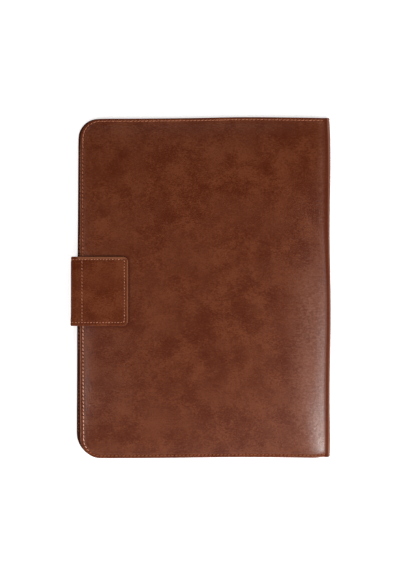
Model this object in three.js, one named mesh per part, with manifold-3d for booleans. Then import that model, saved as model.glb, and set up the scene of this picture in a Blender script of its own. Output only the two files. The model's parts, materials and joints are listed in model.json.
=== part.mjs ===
// A leather laptop sleeve lying flat, in millimetres, +Z up.
// The mouth faces -X, the fold faces +X, and the sewn sides face -Y and +Y.
// One sheet makes both panels, and a strap wraps round the mouth and closes it.
import * as THREE from 'three';
import { mergeVertices } from 'three/addons/utils/BufferGeometryUtils.js';
import Module from 'manifold-3d';

const { clamp, lerp, smoothstep } = THREE.MathUtils;

// Overall size and leather
const SLEEVE_LENGTH = 340;
const OVERALL_DEPTH = 259;
const WALL = 2.4;
const CLEARANCE = 0.3;

// Plan of the mouth: how far the edges lie inside the strap's bend, and the round corners
const UPPER_EDGE_INSET = 8.7;
const LOWER_EDGE_INSET = 6.7;
const UPPER_EDGE_SKEW = 0.35;
const LOWER_EDGE_SKEW = 0.75;
const CORNER_RADIUS = 20;

// Height of the hollow between the panels
const MOUTH_GAP = 8;
const CROWN_GAP = 9;
const FOLD_GAP = 6;
const FOLD_END_GAP = 2;
const CROWN_X = -10;
const FOLD_DROP_POWER = 5;

// Sewn sides: a flat margin, then a shoulder that rises to the full height
const SEAM_MARGIN = 6;
const SHOULDER = 80;
const SHOULDER_POWER = 2.2;

// Closing strap
const TAB_WIDTH = 70;
const TAB_REACH = 57;
const TAB_WALL = 2.4;
const TAB_CORNER = 5.5;
const TAB_Y = -4.2;
const BEND_DEPTH = 6.2;
const BEND_SQUARENESS = 2.4;

// Dent that the strap's lower leg presses into the lower panel, and its share in the upper one
const DENT_EASE = 8;
const DENT_FADE = 32;
const UPPER_LIFT_SHARE = 0.2;

// Hidden clasp disc, set into the strap's lower leg
const CLASP_RADIUS = 8;
const CLASP_THICKNESS = 1.3;
const CLASP_FROM_TAB_END = 22;

// Facets
const PANEL_STEPS = 18;
const FOLD_STEPS = 8;
const CORNER_STEPS = 5;
const SIDE_STEPS = 24;
const LEG_STEPS = 6;
const BEND_STEPS = 14;
const ROUND_SEGMENTS = 32;
const CORNER_SEGMENTS = 8;

const HALF_LENGTH = SLEEVE_LENGTH / 2;
const FOLD_X = OVERALL_DEPTH / 2;
const TAB_BEND_X = -OVERALL_DEPTH / 2;
const TAB_END_X = TAB_BEND_X + TAB_REACH;
const UPPER_EDGE_X = TAB_BEND_X + UPPER_EDGE_INSET;
const LOWER_EDGE_X = TAB_BEND_X + LOWER_EDGE_INSET;
const CUTTER_HEIGHT = 2 * (CROWN_GAP + 2 * WALL + TAB_WALL);

const wasm = await Module();
wasm.setup();

// Plan of a panel's mouth edge at y: a slightly slanting line with two round corners
function mouthEdge(edgeX, skew, y) {
  const intoCorner = Math.max(0, Math.abs(y) - (HALF_LENGTH - CORNER_RADIUS));
  const inset = CORNER_RADIUS - Math.sqrt(CORNER_RADIUS ** 2 - intoCorner ** 2);
  return edgeX + inset + skew * (y / HALF_LENGTH);
}

// Share of the full height at y, from 0 on the sewn margins to 1 in the middle
function puff(y) {
  const fromMargin = clamp((HALF_LENGTH - SEAM_MARGIN - Math.abs(y)) / SHOULDER, 0, 1);
  return 1 - (1 - fromMargin) ** SHOULDER_POWER;
}

// Radius of the fold on the middle of the leather, and where the flat panels end at it
function foldRadius(y) {
  return (lerp(FOLD_END_GAP, FOLD_GAP, puff(y)) + WALL) / 2;
}

function creaseX(y) {
  return FOLD_X - WALL / 2 - foldRadius(y);
}

// Height of the hollow at a point of the plan, before the strap's dent
function innerGap(x, y) {
  const towardsFold = Math.max(0, (x - CROWN_X) / (creaseX(y) - CROWN_X));
  const towardsMouth = Math.max(0, (CROWN_X - x) / (CROWN_X - UPPER_EDGE_X));
  const drop = towardsFold ** FOLD_DROP_POWER;
  const middle = CROWN_GAP - (CROWN_GAP - FOLD_GAP) * drop - (CROWN_GAP - MOUTH_GAP) * towardsMouth ** 2;
  const sewn = CLEARANCE + (FOLD_END_GAP - CLEARANCE) * drop;
  return lerp(sewn, middle, puff(y));
}

// Dent over the strap's lower leg: flat over the leg and faded out around it
function tabDent(x, y) {
  const fromEnd = x - (TAB_END_X + DENT_EASE);
  const fromSide = Math.abs(y - TAB_Y) - (TAB_WIDTH / 2 + DENT_EASE);
  const along = 1 - smoothstep(fromEnd, 0, DENT_FADE);
  const across = 1 - smoothstep(fromSide, 0, DENT_FADE);
  return (TAB_WALL + CLEARANCE) * along * across;
}

// Middle of the leather in each panel
function lowerZ(x, y) {
  return WALL / 2 + tabDent(x, y);
}

function upperZ(x, y) {
  return WALL + innerGap(x, y) + WALL / 2 + UPPER_LIFT_SHARE * tabDent(x, y);
}

// Middle of the sheet: the upper panel for u from 0 to 1, the fold from 1 to 2, the lower panel from 2 to 3
function sleeveMiddle(u, y) {
  const crease = creaseX(y);
  if (u < 1) {
    const x = lerp(mouthEdge(UPPER_EDGE_X, UPPER_EDGE_SKEW, y), crease, u);
    return new THREE.Vector3(x, y, upperZ(x, y));
  }
  if (u > 2) {
    const x = lerp(crease, mouthEdge(LOWER_EDGE_X, LOWER_EDGE_SKEW, y), u - 2);
    return new THREE.Vector3(x, y, lowerZ(x, y));
  }
  const turn = (u - 1) * Math.PI;
  const top = upperZ(crease, y);
  const bottom = lowerZ(crease, y);
  const reach = foldRadius(y) * Math.sin(turn);
  const slope = top - upperZ(crease - 1, y);
  const approach = slope * reach * Math.max(0, Math.cos(turn));
  const z = (top + bottom) / 2 + (top - bottom) / 2 * Math.cos(turn) + approach;
  return new THREE.Vector3(crease + reach, y, z);
}

// Outward direction of the sheet, from two short steps across it
function sleeveNormal(u, y) {
  const step = 1e-3;
  const alongU = sleeveMiddle(Math.min(3, u + step), y).sub(sleeveMiddle(Math.max(0, u - step), y));
  const alongY = sleeveMiddle(u, Math.min(HALF_LENGTH, y + step));
  alongY.sub(sleeveMiddle(u, Math.max(-HALF_LENGTH, y - step)));
  return alongU.cross(alongY).normalize();
}

// Stations along the section, and rows along the length that close up round the corners
function sectionStations() {
  const evenSteps = (count) => Array.from({ length: count }, (_, i) => i / count);
  const upper = evenSteps(PANEL_STEPS);
  const fold = evenSteps(FOLD_STEPS).map((step) => 1 + step);
  const lower = evenSteps(PANEL_STEPS).map((step) => 2 + step);
  return [...upper, ...fold, ...lower, 3];
}

function lengthRows() {
  const straight = HALF_LENGTH - CORNER_RADIUS;
  const corner = [];
  for (let i = 1; i <= CORNER_STEPS; i += 1) {
    corner.push(straight + CORNER_RADIUS * Math.sin(i / CORNER_STEPS * Math.PI / 2));
  }
  const rows = corner.map((y) => -y).reverse();
  for (let i = 0; i <= SIDE_STEPS; i += 1) {
    rows.push(lerp(-straight, straight, i / SIDE_STEPS));
  }
  return rows.concat(corner);
}

// Closed sheet of even thickness: an outer skin, an inner skin and the cut edges between them
function sheetGeometry(middle, normal, stations, rows, thickness) {
  const positions = [];
  const index = [];
  for (const side of [0.5, -0.5]) {
    for (const u of stations) {
      for (const y of rows) {
        const point = middle(u, y).addScaledVector(normal(u, y), side * thickness);
        positions.push(point.x, point.y, point.z);
      }
    }
  }
  const count = stations.length * rows.length;
  const outer = (i, j) => i * rows.length + j;
  const inner = (i, j) => count + outer(i, j);
  const quad = (a, b, c, d) => index.push(a, b, c, a, c, d);
  const lastU = stations.length - 1;
  const lastY = rows.length - 1;
  for (let i = 0; i < lastU; i += 1) {
    for (let j = 0; j < lastY; j += 1) {
      quad(outer(i, j), outer(i + 1, j), outer(i + 1, j + 1), outer(i, j + 1));
      quad(inner(i, j), inner(i, j + 1), inner(i + 1, j + 1), inner(i + 1, j));
    }
    quad(outer(i + 1, 0), outer(i, 0), inner(i, 0), inner(i + 1, 0));
    quad(outer(i, lastY), outer(i + 1, lastY), inner(i + 1, lastY), inner(i, lastY));
  }
  for (let j = 0; j < lastY; j += 1) {
    quad(outer(0, j), outer(0, j + 1), inner(0, j + 1), inner(0, j));
    quad(outer(lastU, j + 1), outer(lastU, j), inner(lastU, j), inner(lastU, j + 1));
  }
  const geometry = new THREE.BufferGeometry();
  geometry.setAttribute('position', new THREE.Float32BufferAttribute(positions, 3));
  geometry.setIndex(index);
  geometry.computeVertexNormals();
  return geometry;
}

// Middle line of the strap in the XZ plane: upper leg, bend round the mouth, lower leg
function tabMiddleLine() {
  const bendStart = TAB_BEND_X + TAB_WALL / 2 + BEND_DEPTH;
  const upperLegZ = (x) => upperZ(x, TAB_Y) + WALL / 2 + CLEARANCE + TAB_WALL / 2;
  const lowerLegZ = TAB_WALL / 2;
  const line = [];
  for (let i = 0; i < LEG_STEPS; i += 1) {
    const x = lerp(TAB_END_X, bendStart, i / LEG_STEPS);
    line.push(new THREE.Vector2(x, upperLegZ(x)));
  }
  const halfHeight = (upperLegZ(bendStart) - lowerLegZ) / 2;
  const power = 2 / BEND_SQUARENESS;
  for (let i = 0; i <= BEND_STEPS; i += 1) {
    const turn = i / BEND_STEPS * Math.PI;
    const out = BEND_DEPTH * Math.sin(turn) ** power;
    const rise = halfHeight * Math.sign(Math.cos(turn)) * Math.abs(Math.cos(turn)) ** power;
    line.push(new THREE.Vector2(bendStart - out, lowerLegZ + halfHeight + rise));
  }
  line.push(new THREE.Vector2(TAB_END_X, lowerLegZ));
  return line;
}

// Closed outline of a strip of even thickness along a line
function stripShape(line, thickness) {
  const left = [];
  const right = [];
  line.forEach((point, i) => {
    const before = line[Math.max(0, i - 1)];
    const after = line[Math.min(line.length - 1, i + 1)];
    const along = after.clone().sub(before).normalize();
    const across = new THREE.Vector2(-along.y, along.x).multiplyScalar(thickness / 2);
    left.push(point.clone().add(across));
    right.push(point.clone().sub(across));
  });
  return new THREE.Shape(left.concat(right.reverse()));
}

// Plan of the strap: a rectangle with round corners at the end of its legs
function tabPlanShape() {
  const front = TAB_BEND_X - WALL;
  const cornerX = TAB_END_X - TAB_CORNER;
  const low = TAB_Y - TAB_WIDTH / 2;
  const high = TAB_Y + TAB_WIDTH / 2;
  const shape = new THREE.Shape();
  shape.moveTo(front, low);
  shape.lineTo(cornerX, low);
  shape.absarc(cornerX, low + TAB_CORNER, TAB_CORNER, -Math.PI / 2, 0, false);
  shape.absarc(cornerX, high - TAB_CORNER, TAB_CORNER, 0, Math.PI / 2, false);
  shape.lineTo(front, high);
  return shape;
}

function solidOf(geometry) {
  geometry.deleteAttribute('normal');
  geometry.deleteAttribute('uv');
  const merged = mergeVertices(geometry);
  const vertProperties = new Float32Array(merged.attributes.position.array);
  const triVerts = new Uint32Array(merged.index.array);
  return new wasm.Manifold(new wasm.Mesh({ numProp: 3, vertProperties, triVerts }));
}

function geometryOf(solid) {
  const mesh = solid.getMesh();
  const geometry = new THREE.BufferGeometry();
  geometry.setAttribute('position', new THREE.Float32BufferAttribute(mesh.vertProperties, 3));
  geometry.setIndex(Array.from(mesh.triVerts));
  geometry.computeVertexNormals();
  return geometry;
}

// Upright disc that stands between two heights
function discGeometry(radius, bottom, top) {
  const disc = new THREE.CylinderGeometry(radius, radius, top - bottom, ROUND_SEGMENTS);
  disc.rotateX(Math.PI / 2);
  disc.translate(TAB_END_X - CLASP_FROM_TAB_END, TAB_Y, (top + bottom) / 2);
  return disc;
}

// Strap: the bent strip, cut to its round-cornered plan, with a blind pocket for the clasp
function tabGeometry() {
  const strip = new THREE.ExtrudeGeometry(stripShape(tabMiddleLine(), TAB_WALL), {
    depth: TAB_WIDTH, bevelEnabled: false,
  });
  strip.rotateX(Math.PI / 2);
  strip.translate(0, TAB_Y + TAB_WIDTH / 2, 0);
  const plan = new THREE.ExtrudeGeometry(tabPlanShape(), {
    depth: CUTTER_HEIGHT, bevelEnabled: false, curveSegments: CORNER_SEGMENTS,
  });
  plan.translate(0, 0, -WALL);
  const pocketFloor = TAB_WALL - CLASP_THICKNESS - CLEARANCE;
  const pocket = discGeometry(CLASP_RADIUS + CLEARANCE, pocketFloor, TAB_WALL + CLEARANCE);
  return geometryOf(solidOf(strip).intersect(solidOf(plan)).subtract(solidOf(pocket)));
}

function namedMesh(name, geometry, material) {
  const mesh = new THREE.Mesh(geometry, new THREE.MeshStandardMaterial(material));
  mesh.name = name;
  return mesh;
}

const leather = { color: 0x653320, roughness: 0.45, metalness: 0 };
const nickel = { color: 0xb9b6b0, roughness: 0.35, metalness: 1 };

const sleeve = sheetGeometry(sleeveMiddle, sleeveNormal, sectionStations(), lengthRows(), WALL);
const clasp = discGeometry(CLASP_RADIUS, TAB_WALL - CLASP_THICKNESS, TAB_WALL);

const laptopSleeve = new THREE.Group();
laptopSleeve.add(namedMesh('leather_body', sleeve, leather));
laptopSleeve.add(namedMesh('closure_tab', tabGeometry(), leather));
laptopSleeve.add(namedMesh('tab_clasp', clasp, nickel));

export default laptopSleeve;
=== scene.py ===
# %% [markdown]
# # A leather laptop sleeve with a closing tab
# The sleeve is one long piece of brown leather, folded once along its right side and sewn along its two
# short ends, with the mouth on the left. A short leather tab wraps round the mouth and keeps it shut.
# The measured model comes in first as a fixed frame. The pieces made below keep to its sizes within a
# millimetre or so, and two of them stand for its plain solids.

# %% Load the frame
import json
import math
from collections import namedtuple

import bpy
import numpy as np
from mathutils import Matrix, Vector
from mathutils.kdtree import KDTree

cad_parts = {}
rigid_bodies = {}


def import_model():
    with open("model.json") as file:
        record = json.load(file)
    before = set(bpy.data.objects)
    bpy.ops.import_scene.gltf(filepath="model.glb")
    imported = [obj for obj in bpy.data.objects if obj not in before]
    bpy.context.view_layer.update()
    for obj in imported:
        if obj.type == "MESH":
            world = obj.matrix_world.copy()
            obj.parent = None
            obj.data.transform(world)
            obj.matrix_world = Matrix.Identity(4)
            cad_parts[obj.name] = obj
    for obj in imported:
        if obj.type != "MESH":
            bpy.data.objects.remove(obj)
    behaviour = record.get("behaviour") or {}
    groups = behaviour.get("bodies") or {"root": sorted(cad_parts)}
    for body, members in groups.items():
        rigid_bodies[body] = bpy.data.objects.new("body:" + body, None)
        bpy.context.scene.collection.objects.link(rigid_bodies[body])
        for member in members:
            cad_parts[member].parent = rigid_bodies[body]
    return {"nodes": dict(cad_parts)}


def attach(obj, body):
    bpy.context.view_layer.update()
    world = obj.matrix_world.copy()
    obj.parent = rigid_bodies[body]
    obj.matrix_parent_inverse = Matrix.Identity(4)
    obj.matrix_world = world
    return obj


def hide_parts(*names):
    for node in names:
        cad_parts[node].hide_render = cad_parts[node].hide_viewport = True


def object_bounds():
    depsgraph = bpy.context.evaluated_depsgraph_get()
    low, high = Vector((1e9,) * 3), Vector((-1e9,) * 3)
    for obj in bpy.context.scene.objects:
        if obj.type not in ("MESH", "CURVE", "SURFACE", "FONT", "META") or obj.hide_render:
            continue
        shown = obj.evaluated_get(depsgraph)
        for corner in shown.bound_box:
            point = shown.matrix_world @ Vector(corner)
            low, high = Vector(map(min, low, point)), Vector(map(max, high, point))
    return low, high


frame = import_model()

cad_low, cad_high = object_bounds()
print("CAD box, mm:", [round(1000 * side, 1) for side in cad_high - cad_low])

# %% [markdown]
# ## The camera
# The picture looks straight down on the sleeve as it lies on a table. A camera with no turn looks down
# the Z axis with +Y at the top of the picture, so it only needs a height and a lens. A long lens from two
# metres keeps the four edges parallel, as they are in the picture, where one pixel is about a millimetre.

# %% Camera
CAMERA_HEIGHT = 2.0
PICTURE_HEIGHT = 0.5686
PICTURE_CENTRE = (-0.0005, 0.0030)
PANEL_HEIGHT = 0.010
SENSOR = 36.0

bpy.ops.object.camera_add(location=(*PICTURE_CENTRE, PANEL_HEIGHT + CAMERA_HEIGHT), rotation=(0, 0, 0))
camera = bpy.context.object
camera.name = "overhead_camera"
camera.data.sensor_fit = "AUTO"
camera.data.sensor_width = SENSOR
camera.data.lens = SENSOR * CAMERA_HEIGHT / PICTURE_HEIGHT
bpy.context.scene.camera = camera
print("lens, mm:", round(camera.data.lens, 1))

# %% [markdown]
# ## Nodes in one line
# Every finish below is a small network of nodes. One helper adds a node and fills its sockets, each with a
# plain value or the output that feeds it. A second starts a material with one shader on its output, and the
# others are short names for the sums, noises, ramps and mesh measures that come again and again.

# %% Node helpers
def place(tree, kind, sockets=None, **settings):
    node = tree.nodes.new(kind)
    for key, value in settings.items():
        setattr(node, key, value)
    for key, value in (sockets or {}).items():
        if isinstance(value, bpy.types.NodeSocket):
            tree.links.new(value, node.inputs[key])
        else:
            node.inputs[key].default_value = value
    return node


def new_finish(name):
    finish = bpy.data.materials.new(name)
    finish.use_nodes = True
    tree = finish.node_tree
    tree.nodes.clear()
    surface = place(tree, "ShaderNodeBsdfPrincipled")
    place(tree, "ShaderNodeOutputMaterial", {"Surface": surface.outputs["BSDF"]})
    return finish, tree, surface


def maths(tree, operation, first, second=0.0, third=0.0):
    node = place(tree, "ShaderNodeMath", {0: first, 1: second, 2: third}, operation=operation)
    return node.outputs["Value"]


def remap(tree, value, low, high, to_low=0.0, to_high=1.0):
    sockets = {"Value": value, "From Min": low, "From Max": high, "To Min": to_low, "To Max": to_high}
    return place(tree, "ShaderNodeMapRange", sockets, interpolation_type="SMOOTHSTEP").outputs["Result"]


def noise(tree, vector, size, detail=2.0, roughness=0.5, distortion=0.0):
    sockets = {"Vector": vector, "Scale": 1.0 / size, "Detail": detail, "Roughness": roughness}
    sockets["Distortion"] = distortion
    return place(tree, "ShaderNodeTexNoise", sockets).outputs["Fac"]


def ramp(tree, value, stops):
    node = place(tree, "ShaderNodeValToRGB", {"Fac": value})
    while len(node.color_ramp.elements) < len(stops):
        node.color_ramp.elements.new(0.5)
    for element, (position, colour) in zip(node.color_ramp.elements, stops):
        element.position = position
        element.color = (*colour, 1.0)
    return node.outputs["Color"]


def blend_colour(tree, share, first, second):
    sockets = {0: share, 6: first, 7: (*second, 1.0)}
    return place(tree, "ShaderNodeMix", sockets, data_type="RGBA", blend_type="MIX").outputs[2]


def measure(tree, name):
    return place(tree, "ShaderNodeAttribute", attribute_name=name).outputs["Fac"]


def dress(tree, surface, colour, roughness, shine):
    tree.links.new(colour, surface.inputs["Base Color"])
    tree.links.new(roughness, surface.inputs["Roughness"])
    surface.inputs["Specular IOR Level"].default_value = shine


def set_bump(tree, surface, height, strength, distance):
    bump = place(tree, "ShaderNodeBump", {"Strength": strength, "Distance": distance, "Height": height})
    tree.links.new(bump.outputs["Normal"], surface.inputs["Normal"])


print("node helpers ready")

# %% [markdown]
# ## Floor and soft light
# A plain pale floor fades into white, and the leather must not mirror a bright ceiling, or its deep brown
# would turn grey. So the main lamps are large panels that stand low at the four sides. Four small panels
# look straight down: the curved leather beside the fold mirrors two of them as the pale sheen at the lower
# right, the third adds a faint glow to the panel's right half, and the fourth lights the lip on the left.

# %% Floor and lamps
STUDIO_LIGHT = 0.04
FLOOR_SIZE = 8.0
FLOOR_DROP = 0.0003
FLOOR_GLOW = 0.57
FLOOR_TONES = [(0.0, (0.88, 0.88, 0.88)), (1.0, (0.90, 0.90, 0.90))]
WHITE = (1.0, 1.0, 1.0, 1.0)

bpy.context.scene.view_settings.view_transform = "Standard"
bpy.context.scene.view_settings.look = "None"

studio = bpy.data.worlds.new("dim_studio")
studio.use_nodes = True
studio.node_tree.nodes["Background"].inputs["Color"].default_value = WHITE
studio.node_tree.nodes["Background"].inputs["Strength"].default_value = STUDIO_LIGHT
bpy.context.scene.world = studio

bpy.ops.mesh.primitive_plane_add(size=FLOOR_SIZE, location=(0, 0, -FLOOR_DROP))
floor = bpy.context.object
floor.name = "pale_floor"
floor_finish, floor_tree, floor_surface = new_finish("pale_floor")
floor_place = place(floor_tree, "ShaderNodeTexCoord").outputs["Object"]
floor_colour = ramp(floor_tree, noise(floor_tree, floor_place, 0.4), FLOOR_TONES)
floor_tree.links.new(floor_colour, floor_surface.inputs["Base Color"])
floor_surface.inputs["Roughness"].default_value = 1.0
floor_surface.inputs["Specular IOR Level"].default_value = 0.0
floor_surface.inputs["Emission Color"].default_value = WHITE
floor_surface.inputs["Emission Strength"].default_value = FLOOR_GLOW
floor.data.materials.append(floor_finish)


def softbox(name, spot, aim, width, height, power):
    facing = (Vector(aim) - Vector(spot)).to_track_quat("-Z", "Y").to_euler()
    bpy.ops.object.light_add(type="AREA", location=spot, rotation=facing)
    lamp = bpy.context.object
    lamp.name = name
    lamp.data.shape = "RECTANGLE"
    lamp.data.size = width
    lamp.data.size_y = height
    lamp.data.energy = power


def overhead(name, x, y, width, height, power):
    softbox(name, (x, y, 1.0), (x, y, 0.0), width, height, power)


CENTRE = (0.0, 0.0, 0.0)
softbox("lamp_left", (-2.0, -0.5, 1.2), CENTRE, 2.6, 1.6, 27)
softbox("lamp_right", (2.1, 0.0, 0.7), CENTRE, 2.6, 1.2, 11)
softbox("lamp_front", (-0.3, -2.1, 1.2), CENTRE, 2.6, 1.6, 13.5)
softbox("lamp_back", (0.0, 2.1, 1.2), CENTRE, 2.6, 1.6, 15)
overhead("lamp_sheen", 0.68, -0.69, 0.35, 0.22, 14.6)
overhead("lamp_sheen_side", 0.95, -0.32, 0.29, 0.11, 4.3)
overhead("lamp_glow", 0.36, -0.17, 0.12, 0.18, 0.28)
overhead("lamp_lip", -0.44, -0.28, 0.08, 0.24, 0.9)

# %% [markdown]
# ## The leather's colour and grain
# The leather is waxed and mottled: soft clouds and patches of lighter and darker brown, two to five
# centimetres across, with fine freckles in them. Noise nodes of these sizes are added together and a ramp
# turns the sum into three browns. The pattern lies on the flat cut through its own UV map, in metres, so it
# runs on round the fold as one hide does.

# %% Mottled colour
BROWN_DARK = (0.087, 0.0126, 0.0018)
BROWN_MID = (0.114, 0.0222, 0.0054)
BROWN_LIGHT = (0.158, 0.0385, 0.0126)
BROWN_BLOOM = (0.130, 0.0300, 0.0100)
TONE_STOPS = [(0.765, BROWN_DARK), (0.885, BROWN_MID), (1.0, BROWN_LIGHT)]
CLOUD_SIZE = 0.050
PATCH_SIZE = 0.021
BLOOM_SIZE = 0.034
FRECKLE_SIZE = 0.0013
CLOUD_SHARE = 0.22
PATCH_SHARE = 0.56
BLOOM_BAND = (0.40, 0.68)
BLOOM_SHARE = 0.45
DRAWN_OUT = (0.7, 1.3, 1.0)


def mottle(tree, hide, drawn):
    """The leather's own colour, with the patches and the freckles that also vary its gloss."""
    clouds = noise(tree, hide, CLOUD_SIZE, 3.0, 0.5, 0.3)
    patches = noise(tree, hide, PATCH_SIZE, 2.0, 0.60, 0.3)
    freckles = noise(tree, drawn, FRECKLE_SIZE, 3.0, 0.75)
    tone = maths(tree, "MULTIPLY_ADD", clouds, CLOUD_SHARE, maths(tree, "MULTIPLY", patches, PATCH_SHARE))
    colour = ramp(tree, maths(tree, "ADD", freckles, tone), TONE_STOPS)
    bloom = remap(tree, noise(tree, hide, BLOOM_SIZE, 2.0, 0.5, 0.5), *BLOOM_BAND, 0.0, BLOOM_SHARE)
    return blend_colour(tree, bloom, colour, BROWN_BLOOM), patches, freckles


print("browns:", len(TONE_STOPS))

# %% [markdown]
# ## Wear, gloss and grain
# Measures kept on the mesh tell the finish its distance to the cut edge and to the stitch line, and where
# painted light and shade go. They paint shade on the fold's strip and the upper end's rim, paint a paler,
# redder sheen with pale strokes beside the fold and a highlight on the lit rims, press in the needle holes
# and darken them with painted shade, and paint the tab's shadow as a dark line beside it. A fine pebbled
# grain breaks up the sheen. The border, the fold and the tab are the same hide with less gloss, and their
# last two millimetres by the cut edge are paler, partly worn and partly a painted highlight.

# %% Leather finish
BROWN_PAINTED_SHADE = (0.091, 0.0140, 0.0027)
BROWN_SHEEN_LIT = (0.165, 0.0450, 0.0180)
BROWN_SHEEN_STROKES = (0.230, 0.0900, 0.0540)
BROWN_HIGHLIGHT = (0.270, 0.1250, 0.0860)
BROWN_TAB_HIGHLIGHT = (0.27, 0.098, 0.046)
# The edge colours pale the last two millimetres by the cut edge: partly wear, partly a painted highlight on
# the rounded rim.
BROWN_EDGE = (0.15, 0.040, 0.0150)
BROWN_TAB_EDGE = (0.20, 0.060, 0.0260)
BROWN_HOLE_SHADE = (0.018, 0.006, 0.003)
STROKE_SIZE = 0.0024
STROKE_BAND = (0.40, 0.64)
GRAIN_SIZE = 0.0011
GRAIN_CELLS = 820.0
GRAIN_BUMP = (0.5, 0.00018)
CREASE_SIZE = 0.006
HOLE_BAND = (0.0008, 0.0003)
HOLE_DEPTH = -2.2
EDGE_BAND = (0.0019, 0.0008)
DULL_BAND = (0.0065, 0.0040)
TAB_SHADOW_BAND = (0.0026, 0.0008)
# The tab's outline on the near panel, in metres of the flat cut.
TAB_MARK_RUN = 0.0482
TAB_MARK_MIDDLE = -0.0033
TAB_MARK_HALF = 0.03465
# Where on the hide the two pieces were cut.
BODY_HIDE = 0.31
TAB_HIDE = 0.87


def stitch_holes(tree):
    phase = maths(tree, "COSINE", maths(tree, "MULTIPLY", measure(tree, "stitch_run"), 2 * math.pi))
    near_line = remap(tree, maths(tree, "ABSOLUTE", measure(tree, "stitch_offset")), *HOLE_BAND)
    return maths(tree, "MULTIPLY", remap(tree, phase, 0.68, 1.0), near_line)


def painted_tab_shadow(tree, flat):
    """Painted shadow of the tab: a dark line on the near panel along the tab's outline."""
    parts = place(tree, "ShaderNodeSeparateXYZ", {"Vector": flat})
    past_end = maths(tree, "MAXIMUM", maths(tree, "SUBTRACT", parts.outputs["X"], TAB_MARK_RUN), 0.0)
    aside = maths(tree, "ABSOLUTE", maths(tree, "SUBTRACT", parts.outputs["Y"], TAB_MARK_MIDDLE))
    past_side = maths(tree, "MAXIMUM", maths(tree, "SUBTRACT", aside, TAB_MARK_HALF), 0.0)
    squares = maths(tree, "MULTIPLY_ADD", past_end, past_end, maths(tree, "MULTIPLY", past_side, past_side))
    return remap(tree, maths(tree, "SQRT", squares), *TAB_SHADOW_BAND, 0.0, 0.9)


# Painted sheen: a paler, redder colour with pale strokes beside the fold, standing in for its sheen.
def painted_sheen_strokes(tree, drawn, colour):
    sheen_share = measure(tree, "painted_sheen")
    colour = blend_colour(tree, maths(tree, "MULTIPLY", sheen_share, 0.45), colour, BROWN_SHEEN_LIT)
    strokes = remap(tree, noise(tree, drawn, STROKE_SIZE, 2.0, 0.7, 0.6), *STROKE_BAND, 0.0, 0.6)
    return blend_colour(tree, maths(tree, "MULTIPLY", sheen_share, strokes), colour, BROWN_SHEEN_STROKES)


def pebbled_relief(tree, hide, drawn, holes):
    sockets = {"Vector": drawn, "Scale": GRAIN_CELLS}
    cells = place(tree, "ShaderNodeTexVoronoi", sockets, feature="SMOOTH_F1").outputs["Distance"]
    grain = maths(tree, "ADD", noise(tree, drawn, GRAIN_SIZE, 2.0, 0.6), cells)
    relief = maths(tree, "MULTIPLY_ADD", noise(tree, hide, CREASE_SIZE, 3.0, 0.6, 0.8), 0.2, grain)
    return maths(tree, "MULTIPLY_ADD", holes, HOLE_DEPTH, relief)


def leather_finish(
    name, seed, shine, roughness, edge_share=0.0, edge=BROWN_EDGE, highlight_colour=BROWN_HIGHLIGHT, tab_shadow_line=False
):
    finish, tree, surface = new_finish(name)
    flat = place(tree, "ShaderNodeUVMap", uv_map="flat_cut").outputs["UV"]
    shift = {"Vector": flat, "Location": (seed, 1.7 * seed, seed)}
    hide = place(tree, "ShaderNodeMapping", shift).outputs[0]
    drawn = place(tree, "ShaderNodeMapping", {"Vector": hide, "Scale": DRAWN_OUT}).outputs[0]

    colour, patches, freckles = mottle(tree, hide, drawn)
    # Painted sheen beside the fold.
    colour = painted_sheen_strokes(tree, drawn, colour)
    from_edge = measure(tree, "edge_distance")
    colour = blend_colour(tree, remap(tree, from_edge, *EDGE_BAND, 0.0, edge_share), colour, edge)
    # Painted shade: the fold's strip, the upper end's rim and the tab's bend, and on the body the tab's
    # shadow, blend towards the shade colour.
    folded = measure(tree, "fold_shade")
    shaded = maths(tree, "MAXIMUM", folded, painted_tab_shadow(tree, flat)) if tab_shadow_line else folded
    colour = blend_colour(tree, maths(tree, "MULTIPLY", shaded, 0.75), colour, BROWN_PAINTED_SHADE)
    # Painted highlight on the lit rims.
    colour = blend_colour(tree, maths(tree, "MULTIPLY", measure(tree, "painted_highlight"), 0.75), colour, highlight_colour)
    # Painted shade in the needle holes.
    holes = stitch_holes(tree)
    colour = blend_colour(tree, maths(tree, "MULTIPLY", holes, 0.5), colour, BROWN_HOLE_SHADE)

    dull = maths(tree, "MULTIPLY_ADD", patches, 0.05, maths(tree, "MULTIPLY", freckles, 0.03))
    dull = maths(tree, "MULTIPLY_ADD", folded, 0.35, dull)
    dull = maths(tree, "ADD", dull, remap(tree, from_edge, *DULL_BAND, 0.0, 0.10))
    dress(tree, surface, colour, maths(tree, "ADD", dull, roughness), shine)
    set_bump(tree, surface, pebbled_relief(tree, hide, drawn, holes), *GRAIN_BUMP)
    return finish


body_leather = leather_finish("brown_waxed_leather", BODY_HIDE, 0.5, 0.25, tab_shadow_line=True)
border_leather = leather_finish("brown_pressed_leather", BODY_HIDE, 0.12, 0.40, 0.15)
bent_leather = leather_finish("brown_bent_leather", BODY_HIDE, 0.25, 0.30)
spine_leather = leather_finish("brown_folded_leather", BODY_HIDE, 0.13, 0.40, 0.45)
tab_leather = leather_finish(
    "brown_waxed_leather_tab", TAB_HIDE, 0.12, 0.40, 0.15, BROWN_TAB_EDGE, BROWN_TAB_HIGHLIGHT
)
tab_bent_leather = leather_finish("brown_bent_leather_tab", TAB_HIDE, 0.03, 0.40)
print("leather nodes:", len(body_leather.node_tree.nodes))

# %% [markdown]
# ## Lining, painted edge, thread and clasp
# Inside, the leather shows its flesh side: a dull, dark brown nap. The cut edges are sealed with a dark
# paint that leaves a faint ripple, and the lower half of the near lip's edge takes a paler colour, a
# painted highlight. The thread is a paler tan, twisted from three strands, and its twist is a slanted wave
# on the stitch's own UV map. The clasp inside the tab is plain satin metal.

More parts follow.
